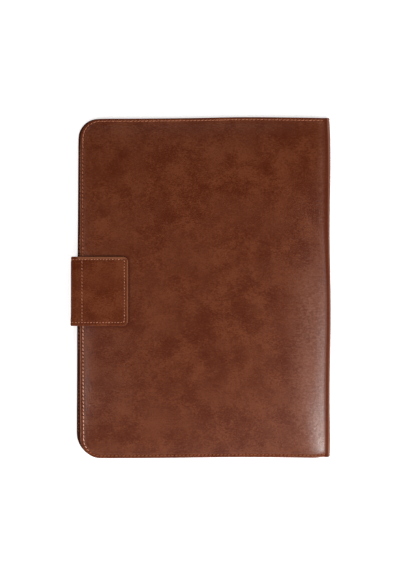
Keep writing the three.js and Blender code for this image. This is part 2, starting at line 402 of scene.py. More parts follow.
# %% Other finishes
LINING_TONES = [(0.3, (0.062, 0.0130, 0.0054)), (0.7, (0.110, 0.0250, 0.0100))]
THREAD_TONES = [(0.1, (0.25, 0.078, 0.035)), (0.5, (0.45, 0.155, 0.080)), (1.0, (0.86, 0.450, 0.315))]
CLASP_TONES = [(0.3, (0.50, 0.49, 0.47)), (0.7, (0.62, 0.61, 0.59))]
STRANDS = 3.0


def lining_finish():
    finish, tree, surface = new_finish("dark_brown_lining")
    flat = place(tree, "ShaderNodeUVMap", uv_map="flat_cut").outputs["UV"]
    nap = noise(tree, flat, 0.0011, 3.0, 0.65)
    blotches = noise(tree, flat, 0.03, 2.0)
    shade = maths(tree, "MULTIPLY_ADD", blotches, 0.6, maths(tree, "MULTIPLY", nap, 0.4))
    dress(tree, surface, ramp(tree, shade, LINING_TONES), remap(tree, nap, 0.2, 0.8, 0.78, 0.95), 0.1)
    set_bump(tree, surface, nap, 0.35, 0.0002)
    return finish


def edge_finish(name, dark, light):
    finish, tree, surface = new_finish(name)
    spot = place(tree, "ShaderNodeTexCoord").outputs["Object"]
    ripple = noise(tree, spot, 0.0016, 2.0, 0.6)
    colour = ramp(tree, ripple, [(0.3, dark), (0.7, light)])
    dress(tree, surface, colour, remap(tree, ripple, 0.2, 0.8, 0.46, 0.65), 0.05)
    set_bump(tree, surface, ripple, 0.3, 0.0002)
    return finish


def thread_finish():
    finish, tree, surface = new_finish("tan_waxed_thread")
    wrap = place(tree, "ShaderNodeUVMap", uv_map="thread_wrap").outputs["UV"]
    parts = place(tree, "ShaderNodeSeparateXYZ", {"Vector": wrap})
    around = maths(tree, "MULTIPLY", parts.outputs["X"], STRANDS)
    twist = maths(tree, "MULTIPLY_ADD", parts.outputs["Y"], STRANDS, around)
    strands = maths(tree, "SINE", maths(tree, "MULTIPLY", twist, 2 * math.pi))
    shade = maths(tree, "MULTIPLY_ADD", strands, 0.16, measure(tree, "stitch_tone"))
    rough = remap(tree, strands, -1.0, 1.0, 0.82, 0.70)
    dress(tree, surface, ramp(tree, shade, THREAD_TONES), rough, 0.12)
    set_bump(tree, surface, strands, 0.6, 0.0001)
    return finish


def clasp_finish():
    finish, tree, surface = new_finish("satin_clasp_metal")
    spot = place(tree, "ShaderNodeTexCoord").outputs["Object"]
    brushed = place(tree, "ShaderNodeMapping", {"Vector": spot, "Scale": (1.0, 14.0, 1.0)}).outputs[0]
    lines = noise(tree, brushed, 0.004, 2.0)
    dress(tree, surface, ramp(tree, lines, CLASP_TONES), remap(tree, lines, 0.2, 0.8, 0.28, 0.42), 0.5)
    surface.inputs["Metallic"].default_value = 1.0
    set_bump(tree, surface, lines, 0.1, 0.0001)
    return finish


lining = lining_finish()
painted_edge = edge_finish("dark_painted_edge", (0.050, 0.0082, 0.0026), (0.088, 0.0155, 0.0050))
lip_edge_highlight = edge_finish("lip_edge_painted_highlight", (0.24, 0.090, 0.052), (0.34, 0.140, 0.085))
thread = thread_finish()
clasp = frame["nodes"]["tab_clasp"]
for slot_of_clasp in clasp.material_slots:
    slot_of_clasp.material = clasp_finish()
print("finishes:", [finish.name for finish in bpy.data.materials])

# %% [markdown]
# ## How the sleeve is shaped
# The sizes are in millimetres. The length, the fold and the tab's bend come from the frame, and the others
# are the measured model's own or within a millimetre or so of them. The near panel swells in the middle and
# comes down to the sewn ends and to the fold. The far panel lies flat, except where the tab's lower leg
# pushes it up. The functions say where any point of the flat cut ends up once it is folded, so the leather
# and the stitches follow one shape.

# %% Sizes of the sleeve
MM = 0.001


def in_mm(metres):
    return round(float(metres) / MM, 2)


SLEEVE_LENGTH = in_mm(cad_high[1] - cad_low[1])
HALF_LENGTH = SLEEVE_LENGTH / 2
WALL = 2.4
CLEARANCE = 0.3
FOLD_NUDGE = 0.3
FOLD_X = in_mm(cad_high[0]) + FOLD_NUDGE
UPPER_EDGE_X = -120.0
LOWER_EDGE_X = -123.25
UPPER_EDGE_SKEW = 0.1
LOWER_EDGE_SKEW = 0.92
CORNER_RADIUS = 20.0
FAR_LOWER_RADIUS = 25.5
MOUTH_GAP = 8.0
CROWN_GAP = 9.0
FOLD_GAP = 6.0
FOLD_END_GAP = 2.0
CROWN_X = -10.0
FOLD_DROP_POWER = 5
SEAM_MARGIN = 6.0
SHOULDER = 80.0
SHOULDER_POWER = 2.2
TAB_WIDTH = 69.3
TAB_WALL = 2.4
TAB_Y = -3.3
TAB_END_X = -71.8
TAB_BEND_X = in_mm(cad_low[0])
DENT_EASE = 8.0
DENT_FADE = 32.0
UPPER_LIFT_SHARE = 0.2

CREASE_X = 123.7
FOLD_RUN = 10.5
UPPER_RUN = CREASE_X - UPPER_EDGE_X
LOWER_RUN = CREASE_X - LOWER_EDGE_X
CUT_RUN = UPPER_RUN + FOLD_RUN + LOWER_RUN
print("flat cut, mm:", round(CUT_RUN, 1), "x", SLEEVE_LENGTH)

# %% The folded shape
ROLL_WIDTH = 26.0
ROLL_DROP = 2.6
ROLL_POWER = 2.5
SKIVED_SHARE = 0.3
SPINE_DEPTH = 3.6
SPINE_DEEPER = 2.6
SPINE_DEEPENS = (20.0, 110.0)
SPINE_REACH = 0.25
SPINE_STEPS = np.linspace(0.0, 1.0, 201)
SPINE_HEADINGS = np.radians(np.interp(SPINE_STEPS, [0, 0.3, 0.6, 0.85, 1], [24, 54, 62, 82, 90]))
SPINE_OUT = np.concatenate([[0.0], np.cumsum(np.cos(SPINE_HEADINGS[1:]))])
SPINE_DOWN = np.concatenate([[0.0], np.cumsum(np.sin(SPINE_HEADINGS[1:]))])
LIP_WIDTH = 16.0
LIP_DROOP = 0.8
FOLD_WAVE = 0.55
FOLD_WAVE_LENGTH = 160.0
FOLD_WAVE_SHIFT = 24.5
WAVE_FROM = (70.0, 50.0)
END_SWAY = 1.2
SWAY_X = 45.0
SWAY_WIDTH = 70.0
SWAY_LEVEL = 0.45
TOP_RISE = 0.45
RISE_ALONG = (5.0, 30.0)
RISE_ACROSS = (0.0, 150.0)
TUCK_FROM = (146.0, 22.0)
TUCK_AT = [114.0, 117.0, 119.5, 122.0, 124.5, 126.5, 129.5]
TUCK = [0.0, 0.3, 0.7, 0.9, 0.8, 0.9, 2.0]


def ease(value):
    share = np.clip(value, 0.0, 1.0)
    return share * share * (3.0 - 2.0 * share)


def rise(value, start, width):
    """0 up to the start, 1 once the width is passed, and a soft change between."""
    return ease((value - start) / width)


def puff(y):
    room = np.clip((HALF_LENGTH - SEAM_MARGIN - np.abs(y)) / SHOULDER, 0.0, 1.0)
    return 1.0 - (1.0 - room) ** SHOULDER_POWER


def spine_depth(y):
    return SPINE_DEPTH + SPINE_DEEPER * rise(y, *SPINE_DEEPENS)


def crease_x(y):
    return FOLD_X + SPINE_REACH - WALL - spine_depth(y)


def inner_gap(x, y):
    past = np.maximum(0.0, (x - CROWN_X) / (crease_x(y) - CROWN_X))
    before = np.maximum(0.0, (CROWN_X - x) / (CROWN_X - UPPER_EDGE_X))
    drop = past ** FOLD_DROP_POWER
    middle = CROWN_GAP - (CROWN_GAP - FOLD_GAP) * drop - (CROWN_GAP - MOUTH_GAP) * before ** 2
    sewn = CLEARANCE + (FOLD_END_GAP - CLEARANCE) * drop
    return sewn + (middle - sewn) * puff(y)


def tab_dent(x, y):
    along = 1.0 - ease((x - TAB_END_X - DENT_EASE) / DENT_FADE)
    across = 1.0 - ease((np.abs(y - TAB_Y) - TAB_WIDTH / 2 - DENT_EASE) / DENT_FADE)
    return (TAB_WALL + CLEARANCE) * along * across


def near_inside(x, y):
    lip_droop = LIP_DROOP * np.clip(1.0 - (x - UPPER_EDGE_X) / LIP_WIDTH, 0.0, 1.0) ** 2
    return WALL + inner_gap(x, y) + UPPER_LIFT_SHARE * tab_dent(x, y) - lip_droop * puff(y)


def far_inside(x, y):
    return WALL + tab_dent(x, y)


def roll_over(x, y):
    return ROLL_DROP * np.clip(1.0 - (crease_x(y) - x) / ROLL_WIDTH, 0.0, 1.0) ** ROLL_POWER


def sway(x, y, z):
    """Small moves of the leather: the fold's wave, the ends' bow, the lower tuck and the top's lift."""
    wave = FOLD_WAVE * np.cos(2 * math.pi * (y + FOLD_WAVE_SHIFT) / FOLD_WAVE_LENGTH)
    bow = END_SWAY * (np.exp(-(((x - SWAY_X) / SWAY_WIDTH) ** 2)) - SWAY_LEVEL)
    tuck = np.interp(x, TUCK_AT, TUCK) * rise(-y, *TUCK_FROM)
    lift = TOP_RISE * rise(x, *RISE_ALONG) * rise(y, *RISE_ACROSS)
    return np.stack([x + wave * rise(x, *WAVE_FROM), y + bow + tuck + lift, z], axis=-1)


def fold_leather(run, across):
    """The folded leather's inner face, in millimetres, for points of the flat cut."""
    run, y = np.broadcast_arrays(np.asarray(run, float), np.asarray(across, float))
    crease = crease_x(y)
    near = run <= UPPER_RUN
    far = run >= UPPER_RUN + FOLD_RUN
    from_lip = np.where(near, run, CUT_RUN - run)
    lip = np.where(near, UPPER_EDGE_X, LOWER_EDGE_X)
    reach = np.where(near, UPPER_RUN, LOWER_RUN)
    skew = np.where(near, UPPER_EDGE_SKEW, LOWER_EDGE_SKEW) * y / HALF_LENGTH
    share = from_lip / reach
    x = lip + (crease - lip) * share + skew * (1.0 - share)
    panel_x = np.minimum(x, crease)
    near_z = near_inside(panel_x, y) - (1.0 - SKIVED_SHARE) * roll_over(panel_x, y)
    z = np.where(near, near_z, far_inside(panel_x, y))
    top = near_inside(crease, y) - (1.0 - SKIVED_SHARE) * ROLL_DROP
    bottom = far_inside(crease, y)
    turn = np.clip((run - UPPER_RUN) / FOLD_RUN, 0.0, 1.0)
    half_turn = 1.0 - np.abs(2.0 * turn - 1.0)
    out = np.interp(half_turn, SPINE_STEPS, SPINE_OUT / SPINE_OUT[-1])
    down = np.interp(half_turn, SPINE_STEPS, SPINE_DOWN / SPINE_DOWN[-1]) * (top - bottom) / 2
    in_fold = ~(near | far)
    x = np.where(in_fold, crease + spine_depth(y) * out, x)
    z = np.where(in_fold, np.where(turn < 0.5, top - down, bottom + down), z)
    return sway(x, y, z)


print("height of the near panel's middle, mm:", round(float(near_inside(0.0, 0.0) + WALL), 2))

# %% [markdown]
# ## Cutting the leather
# The body starts as a flat plane of the real cut size. Its four corners are rounded with a vertex bevel,
# and insets lay rings beside the edge for the rounded edge and the pressed stitch groove. Bisect then draws
# the lines between, close together where the fold will be and wide apart where the leather stays flat.

# %% Cut and ring a flat sheet
def in_mode(mode):
    bpy.ops.object.mode_set(mode=mode)


def start_cut(name, run, width):
    bpy.ops.mesh.primitive_plane_add(size=1.0, location=(run * MM / 2, 0, 0))
    cut = bpy.context.object
    cut.name = name
    cut.data.name = name
    cut.scale = (run * MM, width * MM, 1.0)
    bpy.ops.object.transform_apply(location=True, rotation=True, scale=True)
    return cut


def points_of(mesh):
    flat_list = np.empty(len(mesh.vertices) * 3)
    mesh.vertices.foreach_get("co", flat_list)
    return flat_list.reshape(-1, 3)


def round_corner(piece, chosen, radius, segments):
    in_mode("EDIT")
    bpy.ops.mesh.select_mode(type="VERT")
    bpy.ops.mesh.select_all(action="DESELECT")
    in_mode("OBJECT")
    piece.data.vertices.foreach_set("select", chosen(points_of(piece.data) / MM))
    in_mode("EDIT")
    bpy.ops.mesh.bevel(offset=radius * MM, segments=segments, profile=0.5, affect="VERTICES")
    in_mode("OBJECT")


def draw_lines(places, facing):
    for spot in places:
        at = [spot * MM * side for side in facing]
        bpy.ops.mesh.select_all(action="SELECT")
        bpy.ops.mesh.bisect(plane_co=at, plane_no=facing, threshold=0.00001)


def mark_cut(piece, rings, run_lines, across_lines):
    """Lay rings and lines on a flat cut, and tell its area in square metres."""
    in_mode("EDIT")
    bpy.ops.mesh.select_all(action="SELECT")
    for step in np.diff([0.0, *rings]):
        bpy.ops.mesh.inset(thickness=step * MM, depth=0.0, use_boundary=True, use_even_offset=True)
    draw_lines(run_lines, (1, 0, 0))
    draw_lines(across_lines, (0, 1, 0))
    in_mode("OBJECT")
    return sum(face.area for face in piece.data.polygons)


BODY_RINGS = [0.5, 1.1, 1.8, 2.3, 2.8, 3.3, 4.0, 6.0, 9.0, 13.0, 17.0]
BEFORE_FOLD = np.array([32.0, 28.0, 24.0, 20.0, 16.0, 12.0, 9.0, 6.0, 4.0, 2.0, 0.8])
FOLD_SHARES = np.array([0.0, 0.03, 0.08, 0.15, 0.22, 0.3, 0.4, 0.5, 0.6, 0.7, 0.8, 0.9, 1.0])
PAST_FOLD = np.array([4.0, 8.0, 14.0])
NEAR_FIELD_GAP = 36.0
FAR_FIELD_GAP = 24.0
fold_end = UPPER_RUN + FOLD_RUN
near_field = np.linspace(CORNER_RADIUS, UPPER_RUN - NEAR_FIELD_GAP, 10)
far_field = np.linspace(fold_end + FAR_FIELD_GAP, CUT_RUN - CORNER_RADIUS, 11)
beside_fold = [UPPER_RUN - BEFORE_FOLD, UPPER_RUN + FOLD_RUN * FOLD_SHARES, fold_end + PAST_FOLD]
body_lines = np.concatenate([near_field, *beside_fold, far_field])
body_across = np.linspace(CORNER_RADIUS - HALF_LENGTH, HALF_LENGTH - CORNER_RADIUS, 16)

body = start_cut("leather_body_sheet", CUT_RUN, SLEEVE_LENGTH)
round_corner(body, lambda spot: (spot[:, 0] > CUT_RUN / 2) & (spot[:, 1] < 0), FAR_LOWER_RADIUS, 8)
round_corner(body, lambda spot: (spot[:, 0] < CUT_RUN / 2) | (spot[:, 1] > 0), CORNER_RADIUS, 8)
cut_area = mark_cut(body, BODY_RINGS, body_lines, body_across)
print("body cut:", len(body.data.polygons), "faces,", round(cut_area, 4), "square metres")

# %% [markdown]
# ## Folding and thickening
# Before the cut is folded its flat places are kept as a UV map in metres. Then each point moves to where
# the fold puts it. Solidify gives the wall its thickness on the outside, thinner along the pressed stitch
# groove and at the edge through a vertex group, and gives the inside and the rim their own finishes. A
# subdivision surface rounds it all.

# %% Fold, thicken and smooth
def corners_of(mesh):
    corner = np.empty(len(mesh.loops), np.int32)
    mesh.loops.foreach_get("vertex_index", corner)
    return corner


def keep_flat_map(piece):
    mesh = piece.data
    while mesh.uv_layers:
        mesh.uv_layers.remove(mesh.uv_layers[0])
    layer = mesh.uv_layers.new(name="flat_cut")
    layer.uv.foreach_set("vector", points_of(mesh)[corners_of(mesh), :2].ravel())


def flat_places(mesh):
    uv = np.empty(len(mesh.loops) * 2)
    mesh.uv_layers["flat_cut"].uv.foreach_get("vector", uv)
    places = np.zeros((len(mesh.vertices), 2))
    places[corners_of(mesh)] = uv.reshape(-1, 2)
    return places / MM


def edge_distance(run, across, length, width, radius):
    from_end = np.minimum(run, length - run)
    from_side = width / 2 - np.abs(across)
    corner = radius - np.hypot(radius - from_end, radius - from_side)
    in_corner = (from_end < radius) & (from_side < radius)
    return np.where(in_corner, corner, np.minimum(from_end, from_side))


def shape_sheet(piece, shape, wall_share):
    """Keep the flat map, give each point its share of the wall and move it to its folded place."""
    keep_flat_map(piece)
    flat = points_of(piece.data)[:, :2] / MM
    group = piece.vertex_groups.new(name="wall")
    for index, weight in enumerate(wall_share(flat)):
        group.add([index], float(weight), "REPLACE")
    piece.data.vertices.foreach_set("co", (shape(*flat.T) * MM).ravel())
    piece.data.update()


def thicken(piece, wall, finishes):
    for finish in finishes:
        piece.data.materials.append(finish)
    wall_step = piece.modifiers.new("wall", "SOLIDIFY")
    wall_step.thickness = wall * MM
    wall_step.offset = 1.0
    wall_step.vertex_group = "wall"
    wall_step.material_offset = 1
    wall_step.material_offset_rim = 2
    round_step = piece.modifiers.new("round", "SUBSURF")
    round_step.levels = 2
    round_step.render_levels = 2
    bpy.ops.object.select_all(action="DESELECT")
    piece.select_set(True)
    bpy.context.view_layer.objects.active = piece
    bpy.ops.object.modifier_apply(modifier="wall")
    bpy.ops.object.modifier_apply(modifier="round")
    bpy.ops.object.shade_smooth()
    piece.vertex_groups.clear()


def finish_border(piece, finish, at_border, instead_of=0):
    mesh = piece.data
    mesh.materials.append(finish)
    places = flat_places(mesh)
    index = np.empty(len(mesh.polygons), np.int32)
    mesh.polygons.foreach_get("material_index", index)
    middle = np.array([places[list(face.vertices)].mean(axis=0) for face in mesh.polygons])
    index[(index == instead_of) & at_border(middle)] = len(mesh.materials) - 1
    mesh.polygons.foreach_set("material_index", index)


BORDER_WIDTH = 4.0
THIN_PAST_CREASE = 5.0
WALL_AT = [0.0, *BODY_RINGS[:9]]
WALL_SHARE = [0.70, 0.84, 0.92, 0.93, 0.87, 0.82, 0.86, 0.95, 0.98, 1.0]


def body_edge(places):
    run, y = places.T
    radius = np.where((run > CUT_RUN / 2) & (y < 0), FAR_LOWER_RADIUS, CORNER_RADIUS)
    return edge_distance(run, y, CUT_RUN, SLEEVE_LENGTH, radius)


def body_wall(places):
    """The share of the full wall left at a point: pressed beside the edge, skived towards the crease."""
    before = UPPER_RUN - places[:, 0]
    thinned = np.clip(1.0 - np.abs(before) / ROLL_WIDTH, 0.0, 1.0) ** ROLL_POWER
    skived = SKIVED_SHARE * ROLL_DROP / WALL * thinned
    skived = np.where(before < 0, skived * np.clip(1.0 + before / THIN_PAST_CREASE, 0.0, 1.0), skived)
    return np.interp(body_edge(places), WALL_AT, WALL_SHARE) * (1.0 - skived)


print("wall beside the edge, mm:", round(WALL * min(WALL_SHARE), 2))

# %% [markdown]
# ## Where light and shade are painted
# These functions say which parts of the flat cut take another finish, and how much painted shade falls on
# the fold, painted sheen beside it and painted highlight on the lit rims. The fold's painted dark strip
# starts a little earlier in the upper half of the sleeve, as it does in the picture.

# %% Painted light and shade
PALE_LIP_DEPTH = 1.5
PALE_LIP_LOW = 12.0 - HALF_LENGTH
PALE_LIP_HIGH = 10.0
# A band is where a change starts and how wide it is.
UPPER_HALF = (10.0, 80.0)
NEAR_TOP = (105.0, 30.0)
TOP_END = (125.0, 25.0)
STRIP_LOWER = (-30.0, 60.0)
STRIP_END = (0.6 * FOLD_RUN, 0.3 * FOLD_RUN)
TOP_RIM = (0.5, 1.1)
SHEEN_WIDE = (12.0, 32.0)
SHEEN_LOWER = (-45.0, 60.0)
SHEEN_NARROW = (1.0, 6.0)
SHEEN_UPPER = (20.0, 40.0)
SHEEN_CORNER = (3.0, 15.0)
LIP_RIM = (0.4, 0.9)
LIP_CORNERS = (9.0, 12.0)
LIP_LOWER = (-35.0, 50.0)
LOWER_RIM = (0.5, 1.2)
GLEAM = (-12.0, 5.0)
FOLD_LINE_STARTS = (0.26, 0.1)
FOLD_LINE_ENDS = (0.6, 0.2)


def on_border(places):
    return body_edge(places) < BORDER_WIDTH


def spine_lead(y):
    return rise(y, *UPPER_HALF) - 0.7 * rise(y, *NEAR_TOP)


def past_spine_start(places):
    return places[:, 0] - (UPPER_RUN + 0.8 - spine_lead(places[:, 1]))


def on_spine(places):
    start = 0.8 * rise(places[:, 1], *UPPER_HALF)
    return (past_spine_start(places) > start) & (places[:, 0] < fold_end)


def beside_spine(places):
    return past_spine_start(places) > -1.6 * rise(places[:, 1], *UPPER_HALF)


def fold_shade(places):
    """Painted shade: the fold's dark strip, and the dark rim of the upper end."""
    past, y = places[:, 0] - UPPER_RUN, places[:, 1]
    lead = 2.2 + 0.4 * spine_lead(y)
    strip = rise(past, -lead, lead + 1.2 + 1.2 * rise(y, *UPPER_HALF)) * (1.0 - rise(past, *STRIP_END))
    strip = strip * (0.85 + 0.15 * rise(y, *STRIP_LOWER))
    top_rim = 0.9 * (1.0 - rise(body_edge(places), *TOP_RIM)) * rise(y, *TOP_END)
    return np.maximum(strip, top_rim * (past < 0.0))


def painted_sheen(places):
    """Painted sheen beside the fold: wide beside its lower half, narrow beside its upper half."""
    before, y = UPPER_RUN - places[:, 0], places[:, 1]
    lower = (1.0 - rise(before, *SHEEN_WIDE)) * rise(-y, *SHEEN_LOWER)
    lower = lower * (0.5 + 0.5 * rise(HALF_LENGTH + y, *SHEEN_CORNER))
    upper = 0.5 * (1.0 - rise(before, *SHEEN_NARROW)) * rise(y, *SHEEN_UPPER)
    return rise(before, -2.0, 2.0) * np.maximum(lower, upper)


def painted_highlight(places):
    """Painted highlight: the near lip's rim, the lower end and the fold's outermost line."""
    run, y = places.T
    lip = (1.0 - rise(run, *LIP_RIM)) * rise(HALF_LENGTH - np.abs(y), *LIP_CORNERS)
    lip = lip * (0.25 + 0.75 * rise(-y, *LIP_LOWER))
    past = (run - UPPER_RUN) / FOLD_RUN
    gleam = 0.35 + 0.95 * rise(run - UPPER_RUN, *GLEAM)
    lower_end = gleam * (1.0 - rise(HALF_LENGTH + y, *LOWER_RIM)) * (past < 0.0)
    fold_line = rise(past, *FOLD_LINE_STARTS) * (1.0 - rise(past, *FOLD_LINE_ENDS))
    return np.maximum(lip, lower_end) + fold_line


# Painted highlight: the near lip's rim, in its lower half, takes the pale edge finish.
def on_near_lip(places):
    run, y = places.T
    return (run < PALE_LIP_DEPTH) & (y > PALE_LIP_LOW) & (y < PALE_LIP_HIGH)


print("border, mm:", BORDER_WIDTH)

# %% Fold the body
shape_sheet(body, fold_leather, body_wall)
thicken(body, WALL, [body_leather, lining, painted_edge])
finish_border(body, border_leather, on_border)
finish_border(body, spine_leather, on_spine)
finish_border(body, bent_leather, beside_spine)
finish_border(body, lip_edge_highlight, on_near_lip, 2)
print("body:", len(body.data.polygons), "faces, box", [round(side / MM, 1) for side in body.dimensions])

# %% [markdown]
# ## Stitch lines
# A stitch line is drawn on the flat cut, a few millimetres inside the edge and on to the fold, and walked
# in even steps. The same line gives each point of the leather its distance to the line and its place along
# it, which the leather finish reads for the needle holes, so the holes fall between the stitches. Along the
# top the stitches lie end to end and no holes are opened.

# %% Walk a stitch line
LINE_STEP = 0.25
LOOK_AHEAD = 0.3
Walk = namedtuple("Walk", "middles ways dense runs pitches")


def bend_corner(centre, radius, start, end):
    count = max(4, int(radius * abs(end - start) / LINE_STEP))
    angles = np.linspace(start, end, count)
    return [(centre[0] + radius * math.cos(a), centre[1] + radius * math.sin(a)) for a in angles]


def length_along(drawn):
    return np.concatenate([[0.0], np.cumsum(np.hypot(*np.diff(drawn, axis=0).T))])


def along(drawn, length, at):
    return np.stack([np.interp(at, length, drawn[:, k]) for k in (0, 1)], axis=1)


def walk(corners, pitch):
    """Even steps along a line: the stitches' middles, ways and pitches, and a dense copy of the line."""
    drawn = np.array(corners, float)
    length = length_along(drawn)
    count = round(length[-1] / pitch)
    pitch = length[-1] / count
    middles = (np.arange(count) + 0.5) * pitch
    ways = along(drawn, length, middles + LOOK_AHEAD) - along(drawn, length, middles - LOOK_AHEAD)
    ways = ways / np.hypot(*ways.T)[:, None]
    fine = np.arange(0.0, length[-1], LINE_STEP)
    dense = along(drawn, length, fine)
    return Walk(along(drawn, length, middles), ways, dense, fine / pitch, np.full(count, pitch))


def joined(walks, part):
    return np.concatenate([getattr(one, part) for one in walks])


BODY_PITCH = 3.75
END_MARGIN = 2.6
NEAR_LIP_MARGIN = 2.5
FAR_LIP_MARGIN = 2.0
NEAR_LIP_SLANT = 1.0
TOP_ROW_PAST = 1.2
TOP_ROW_DROP = 0.3
TOP_ROW_DROP_RUN = 60.0
BOTTOM_ROW_PAST = 0.2


def panel_line(margin_lip, lower_radius, slant=0.0):
    """Down one sewn end, along the lip and back up the other end, measured from the lip."""
    side = HALF_LENGTH - END_MARGIN
    upper = CORNER_RADIUS - (END_MARGIN + margin_lip) / 2
    lower = lower_radius - (END_MARGIN + margin_lip) / 2
    line = [(UPPER_RUN + TOP_ROW_PAST, side - TOP_ROW_DROP), (UPPER_RUN - TOP_ROW_DROP_RUN, side)]
    line += bend_corner((margin_lip + upper, side - upper), upper, math.pi / 2, math.pi)
    line += bend_corner((margin_lip + slant + lower, lower - side), lower, math.pi, 1.5 * math.pi)
    line += [(UPPER_RUN + BOTTOM_ROW_PAST, -side)]
    return np.array(line)


near_line = panel_line(NEAR_LIP_MARGIN, CORNER_RADIUS, NEAR_LIP_SLANT)
far_line = panel_line(FAR_LIP_MARGIN, FAR_LOWER_RADIUS) * [-1.0, 1.0] + [CUT_RUN, 0.0]
near_walk = walk(near_line, BODY_PITCH)
far_walk = walk(far_line, BODY_PITCH)
print("stitches on each panel:", len(near_walk.middles), len(far_walk.middles))

# %% Measure the leather against its lines
LINE_REACH = 16.0
FAR_OFF = 1.0
NO_HOLES_WITHIN = 25.0


def keep_measures(piece, measures):
    for name, values in measures.items():
        kept = piece.data.attributes.new(name=name, type="FLOAT", domain="POINT")
        kept.data.foreach_set("value", values.astype(np.float32))


def measure_lines(piece, walks, edge):
    places = flat_places(piece.data)
    dense = joined(walks, "dense")
    runs = joined(walks, "runs")
    tree = KDTree(len(dense))
    for index, spot in enumerate(dense):
        tree.insert((spot[0], spot[1], 0.0), index)
    tree.balance()
    offset = np.full(len(places), FAR_OFF)
    run = np.zeros(len(places))
    for index in np.flatnonzero(edge(places) < LINE_REACH):
        _, nearest, away = tree.find((places[index, 0], places[index, 1], 0.0))
        offset[index] = away * MM
        run[index] = runs[nearest]
    keep_measures(piece, {"edge_distance": edge(places) * MM, "stitch_offset": offset, "stitch_run": run})


def open_holes(one):
    keep = one.dense[:, 1] < HALF_LENGTH - NO_HOLES_WITHIN
    return one._replace(dense=one.dense[keep], runs=one.runs[keep])


measure_lines(body, [open_holes(near_walk), far_walk], body_edge)
body_places = flat_places(body.data)
painted_light_marks = {"fold_shade": fold_shade, "painted_sheen": painted_sheen, "painted_highlight": painted_highlight}
keep_measures(body, {name: painted_at(body_places) for name, painted_at in painted_light_marks.items()})
print("measures on the body:", [kept.name for kept in body.data.attributes if kept.data_type == "FLOAT"])

# %% [markdown]
# ## One stitch, copied
# A stitch is a short grain of thread that dives into the leather at both ends. It starts as a small sphere
# with its poles along the seam, is drawn out in edit mode, and its ends are pushed down. Copies are laid
# along the lines, each turned to the leather under it and slanted a little, as a saddle stitch lies. They
# are longer along the two ends, and palest where the lip's lower half catches the light.

# %% Model one stitch
STITCH_HALF = (1.44, 0.45, 0.40)
STITCH_SINKS = ((0.80, 0.10), (0.98, 0.22))

bpy.ops.mesh.primitive_uv_sphere_add(segments=8, ring_count=6, radius=1.0, rotation=(0, math.pi / 2, 0))
stitch = bpy.context.object
stitch.name = "one_stitch"
bpy.ops.object.transform_apply(location=True, rotation=True, scale=True)
in_mode("EDIT")
bpy.ops.mesh.select_all(action="SELECT")
bpy.ops.transform.resize(value=[half * MM for half in STITCH_HALF])
in_mode("OBJECT")
for reach, sink in STITCH_SINKS:
    far_out = np.abs(points_of(stitch.data)[:, 0]) > reach * STITCH_HALF[0] * MM
    stitch.data.vertices.foreach_set("select", far_out)
    in_mode("EDIT")
    bpy.ops.mesh.select_mode(type="VERT")
    bpy.ops.transform.translate(value=(0, 0, -sink * MM))
    in_mode("OBJECT")
print("one stitch:", len(stitch.data.polygons), "faces")

# %% Lay stitches on a folded sheet
STITCH_SLANT = math.radians(11.0)
SLANT_WOBBLE = math.radians(4.0)
TONE_VARIETY = 0.12
WOBBLE_STEP = 12.9898
TONE_STEP = 78.233
NUDGE = 0.05


def unit(vectors):
    return vectors / np.linalg.norm(vectors, axis=1)[:, None]


def frame_on(shape, places):
    run, across = places.T
    along_run = unit(shape(run + NUDGE, across) - shape(run - NUDGE, across))
    along_width = unit(shape(run, across + NUDGE) - shape(run, across - NUDGE))
    return shape(run, across), along_run, along_width, unit(np.cross(along_run, along_width))


def stitch_corners(shape, walks, height, inside, stretch):
    places = joined(walks, "middles")
    ways = joined(walks, "ways")
    spot, along_run, along_width, outward = frame_on(shape, places)
    forward = along_run * ways[:, :1] + along_width * ways[:, 1:]
    side = np.cross(outward, forward)
    if inside:
        outward, side = -outward, -side
    wobble = np.sin(np.arange(len(places)) * WOBBLE_STEP) * SLANT_WOBBLE
    turn = (STITCH_SLANT + wobble)[:, None]
    lengthwise = forward * np.cos(turn) + side * np.sin(turn)
    sidewise = side * np.cos(turn) - forward * np.sin(turn)
    middle = spot + outward * np.reshape(height, (-1, 1))
    size = stretch * joined(walks, "pitches") / BODY_PITCH
    template = points_of(stitch.data) / MM
    corners = middle[:, None] + template[None, :, :1] * (size[:, None] * lengthwise)[:, None]
    corners = corners + template[None, :, 1:2] * sidewise[:, None]
    return corners + template[None, :, 2:] * outward[:, None]


def lay_stitches(name, shape, walks, height, level=0.4, inside=False, stretch=1.0):
    corners = stitch_corners(shape, walks, height, inside, stretch)
    copies, count = corners.shape[:2]
    faces = [list(face.vertices) for face in stitch.data.polygons]
    all_faces = [[index + count * copy for index in face] for copy in range(copies) for face in faces]
    mesh = bpy.data.meshes.new(name)
    mesh.from_pydata((corners.reshape(-1, 3) * MM).tolist(), [], all_faces)
    wrap = np.empty(len(stitch.data.loops) * 2)
    stitch.data.uv_layers[0].uv.foreach_get("vector", wrap)
    mesh.uv_layers.new(name="thread_wrap").uv.foreach_set("vector", np.tile(wrap, copies))
    mesh.polygons.foreach_set("use_smooth", np.ones(len(mesh.polygons), bool))
    mesh.materials.append(thread)
    piece = bpy.data.objects.new(name, mesh)
    bpy.context.collection.objects.link(piece)
    tone = level + TONE_VARIETY / stretch ** 2 * np.sin(np.arange(copies) * TONE_STEP)
    keep_measures(piece, {"stitch_tone": np.repeat(tone, count)})
    return piece


print("slant of a stitch, degrees:", round(math.degrees(STITCH_SLANT)))

# %% Stitches on both panels
THREAD_LIFT = 0.14
FAR_THREAD_SINK = 0.05
AT_LIP = (4.0, 8.0)
ENDS_UPPER = (0.0, 60.0)
GLOW_LOWER = (-30.0, 60.0)
GLOW_TOP = (130.0, 20.0)
BOTTOM_END = (140.0, 15.0)


